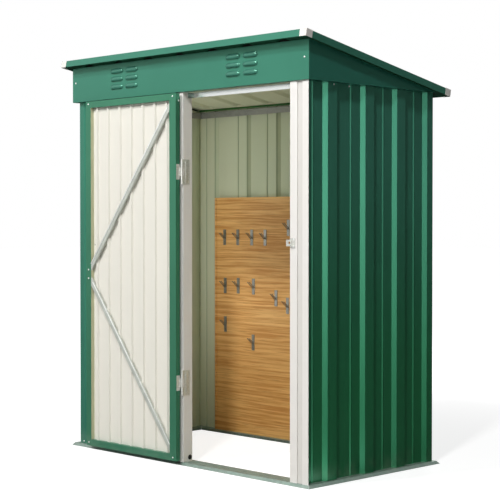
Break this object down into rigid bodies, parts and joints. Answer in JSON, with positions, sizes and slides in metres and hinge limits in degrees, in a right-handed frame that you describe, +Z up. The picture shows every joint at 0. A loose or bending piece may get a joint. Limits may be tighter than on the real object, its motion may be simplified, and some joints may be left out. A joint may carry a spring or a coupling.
{
  "type": "metal tool shed",
  "caption": "Lean-to metal tool shed with ribbed sheet walls, a sloping roof, a louvred fascia, one hinged door and a tool board inside.",
  "frame": {"origin": "on the ground, below the centre of the roof's outline", "axes": "+Z up, -Y towards the door side, +X to the right of someone who faces the door"},
  "size_m": [1.572, 0.919, 1.802],
  "materials": {
    "green_sheet": "satin green coating",
    "green_frame": "satin green coating",
    "cream_sheet": "satin cream coating",
    "white_post": "satin white coating",
    "white_plastic": "moulded white",
    "zinc": "dull zinc coating",
    "hinge_steel": "bright plated",
    "hook_steel": "plated",
    "timber": "oiled boards"
  },
  "bodies": {
    "shed": {"base_rail_front": "zinc", "base_rail_rear": "zinc", "base_rail_left": "zinc", "base_rail_right": "zinc", "front_wall_sheet": "green_sheet", "left_wall_sheet_front": "green_sheet", "left_wall_sheet_rear": "green_sheet", "right_wall_sheet_front": "green_sheet", "right_wall_sheet_rear": "green_sheet", "rear_wall_sheet_left": "green_sheet", "rear_wall_sheet_middle": "green_sheet", "rear_wall_sheet_right": "green_sheet", "top_rail_front": "zinc", "top_rail_rear": "zinc", "top_rail_left": "zinc", "top_rail_right": "zinc", "door_post_left": "white_post", "door_post_right": "white_post", "door_header": "white_post", "latch_keeper": "hinge_steel", "frame_hinge_leaves": "hinge_steel", "front_fascia": "green_sheet", "gable_panel_left": "green_sheet", "gable_panel_right": "green_sheet", "roof_sheet_left": "green_sheet", "roof_sheet_middle": "green_sheet", "roof_sheet_right": "green_sheet", "roof_trim_front_left": "green_sheet", "roof_trim_front_right": "green_sheet", "roof_trim_left": "green_sheet", "roof_trim_right": "green_sheet", "roof_trim_rear": "green_sheet", "roof_corner_caps": "white_plastic", "tool_board": "timber", "tool_hooks": "hook_steel"},
    "door": {"door_sheet": "cream_sheet", "door_stile_hinge": "green_frame", "door_stile_free": "green_frame", "door_rail_top": "green_frame", "door_rail_bottom": "green_frame", "door_brace_upper": "zinc", "door_brace_lower": "zinc", "door_hinge_leaves": "hinge_steel", "door_latch": "hinge_steel"}
  },
  "joints": [
    {"name": "door_hinge", "type": "hinge", "parent": "shed", "child": "door", "pos_m": [0.01, -0.411, 0.8105], "axis": [0, 0, 1], "range_deg": [0, 180]}
  ]
}
